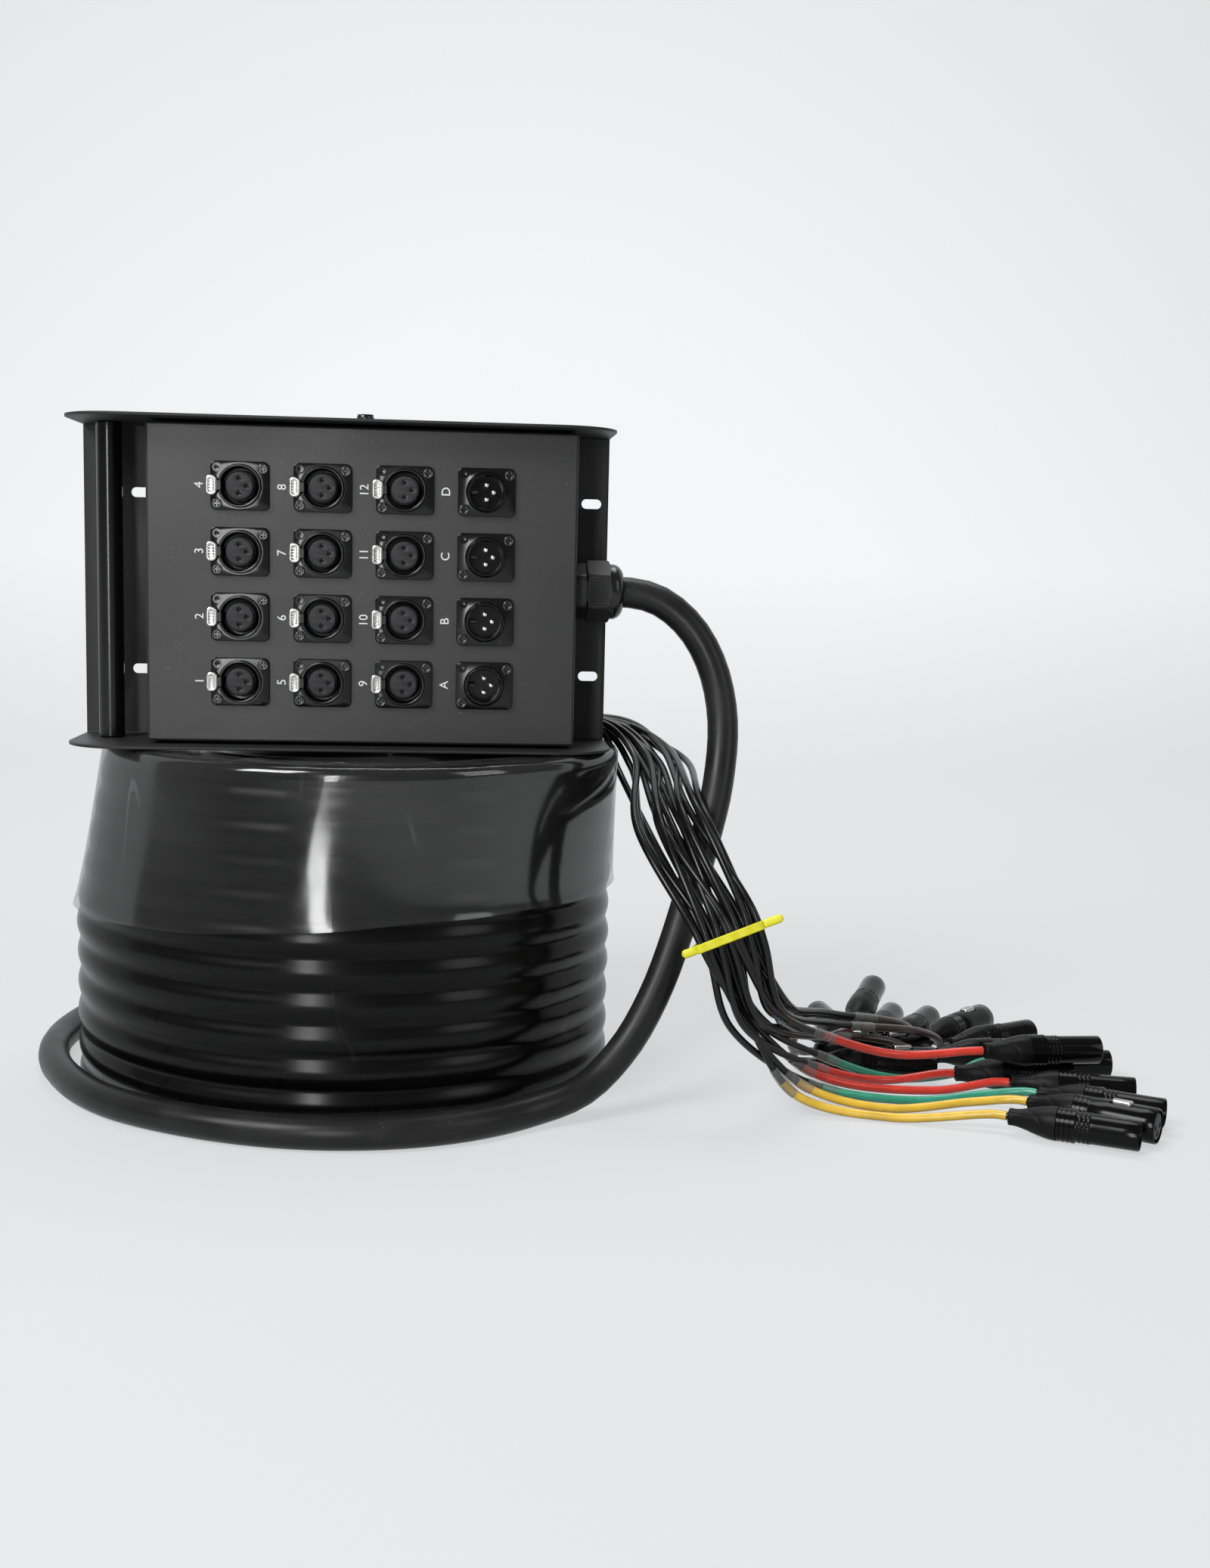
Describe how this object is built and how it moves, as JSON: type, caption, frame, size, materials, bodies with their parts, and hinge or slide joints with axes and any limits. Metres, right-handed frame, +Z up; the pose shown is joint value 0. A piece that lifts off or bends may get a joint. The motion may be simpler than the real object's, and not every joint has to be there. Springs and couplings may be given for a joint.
{
  "type": "stage box snake",
  "caption": "Steel stage box with numbered panel sockets and push latches, standing on the film-wrapped coil of its multicore cable, with strapped tails and cable plugs.",
  "frame": {"origin": "on the floor, under the middle of the cable coil", "axes": "+Z up; -Y is the way the socket panel faces; +X runs to the right along the panel, towards the cable gland and the tails"},
  "size_m": [0.631, 0.3736, 0.3704],
  "materials": {
    "powder_coat": "fine-textured powder coat, satin, a little scuffed",
    "bar_coat": "smooth satin black",
    "socket": "moulded, semi-gloss",
    "nickel": "nickel plate, lightly brushed",
    "gland": "moulded nylon, satin",
    "loom": "matt sheathing",
    "jacket": "smooth satin cable jacket",
    "tail_jacket": "satin cable jacket",
    "film": "clear stretch film in several layers, glossy, with fine creases",
    "tie": "smooth, slightly glossy",
    "plug": "satin black shell"
  },
  "bodies": {
    "stage_box": {"chassis": "powder_coat", "cover": "powder_coat", "carrying_bar": "bar_coat", "socket_1": "socket", "socket_2": "socket", "socket_3": "socket", "socket_4": "socket", "socket_5": "socket", "socket_6": "socket", "socket_7": "socket", "socket_8": "socket", "socket_9": "socket", "socket_10": "socket", "socket_11": "socket", "socket_12": "socket", "socket_A": "socket", "socket_B": "socket", "socket_C": "socket", "socket_D": "socket", "gland_body": "gland", "gland_nut": "gland", "wiring_loom": "loom", "coil_core": "jacket", "coil_turns": "jacket", "stretch_wrap": "film", "trunk_lead": "jacket", "tails": "tail_jacket", "tail_tie": "tie", "plug_1": "plug", "plug_2": "plug", "plug_3": "plug", "plug_4": "plug", "plug_5": "plug", "plug_6": "plug", "plug_7": "plug", "plug_8": "plug", "plug_9": "plug", "plug_10": "plug", "plug_11": "plug", "plug_12": "plug", "plug_A": "plug", "plug_B": "plug", "plug_C": "plug", "plug_D": "plug"},
    "latch_1": {"latch_1": "nickel"},
    "latch_2": {"latch_2": "nickel"},
    "latch_3": {"latch_3": "nickel"},
    "latch_4": {"latch_4": "nickel"},
    "latch_5": {"latch_5": "nickel"},
    "latch_6": {"latch_6": "nickel"},
    "latch_7": {"latch_7": "nickel"},
    "latch_8": {"latch_8": "nickel"},
    "latch_9": {"latch_9": "nickel"},
    "latch_10": {"latch_10": "nickel"},
    "latch_11": {"latch_11": "nickel"},
    "latch_12": {"latch_12": "nickel"},
    "plug_latch_A": {"plug_latch_A": "nickel"},
    "plug_latch_B": {"plug_latch_B": "nickel"},
    "plug_latch_C": {"plug_latch_C": "nickel"},
    "plug_latch_D": {"plug_latch_D": "nickel"}
  },
  "joints": [
    {"name": "latch_slide_1", "type": "slide", "parent": "stage_box", "child": "latch_1", "axis": [0, 1, 0], "range_m": [0, 0.002], "stiffness_N_per_m": 1000, "springref_m": -0.001},
    {"name": "latch_slide_2", "type": "slide", "parent": "stage_box", "child": "latch_2", "axis": [0, 1, 0], "range_m": [0, 0.002], "stiffness_N_per_m": 1000, "springref_m": -0.001},
    {"name": "latch_slide_3", "type": "slide", "parent": "stage_box", "child": "latch_3", "axis": [0, 1, 0], "range_m": [0, 0.002], "stiffness_N_per_m": 1000, "springref_m": -0.001},
    {"name": "latch_slide_4", "type": "slide", "parent": "stage_box", "child": "latch_4", "axis": [0, 1, 0], "range_m": [0, 0.002], "stiffness_N_per_m": 1000, "springref_m": -0.001},
    {"name": "latch_slide_5", "type": "slide", "parent": "stage_box", "child": "latch_5", "axis": [0, 1, 0], "range_m": [0, 0.002], "stiffness_N_per_m": 1000, "springref_m": -0.001},
    {"name": "latch_slide_6", "type": "slide", "parent": "stage_box", "child": "latch_6", "axis": [0, 1, 0], "range_m": [0, 0.002], "stiffness_N_per_m": 1000, "springref_m": -0.001},
    {"name": "latch_slide_7", "type": "slide", "parent": "stage_box", "child": "latch_7", "axis": [0, 1, 0], "range_m": [0, 0.002], "stiffness_N_per_m": 1000, "springref_m": -0.001},
    {"name": "latch_slide_8", "type": "slide", "parent": "stage_box", "child": "latch_8", "axis": [0, 1, 0], "range_m": [0, 0.002], "stiffness_N_per_m": 1000, "springref_m": -0.001},
    {"name": "latch_slide_9", "type": "slide", "parent": "stage_box", "child": "latch_9", "axis": [0, 1, 0], "range_m": [0, 0.002], "stiffness_N_per_m": 1000, "springref_m": -0.001},
    {"name": "latch_slide_10", "type": "slide", "parent": "stage_box", "child": "latch_10", "axis": [0, 1, 0], "range_m": [0, 0.002], "stiffness_N_per_m": 1000, "springref_m": -0.001},
    {"name": "latch_slide_11", "type": "slide", "parent": "stage_box", "child": "latch_11", "axis": [0, 1, 0], "range_m": [0, 0.002], "stiffness_N_per_m": 1000, "springref_m": -0.001},
    {"name": "latch_slide_12", "type": "slide", "parent": "stage_box", "child": "latch_12", "axis": [0, 1, 0], "range_m": [0, 0.002], "stiffness_N_per_m": 1000, "springref_m": -0.001},
    {"name": "plug_latch_slide_A", "type": "slide", "parent": "stage_box", "child": "plug_latch_A", "axis": [0, 0, -1], "range_m": [0, 0.001], "stiffness_N_per_m": 2000, "springref_m": -0.001},
    {"name": "plug_latch_slide_B", "type": "slide", "parent": "stage_box", "child": "plug_latch_B", "axis": [0, 0, -1], "range_m": [0, 0.001], "stiffness_N_per_m": 2000, "springref_m": -0.001},
    {"name": "plug_latch_slide_C", "type": "slide", "parent": "stage_box", "child": "plug_latch_C", "axis": [0, 0, -1], "range_m": [0, 0.001], "stiffness_N_per_m": 2000, "springref_m": -0.001},
    {"name": "plug_latch_slide_D", "type": "slide", "parent": "stage_box", "child": "plug_latch_D", "axis": [0, 0, -1], "range_m": [0, 0.001], "stiffness_N_per_m": 2000, "springref_m": -0.001}
  ]
}
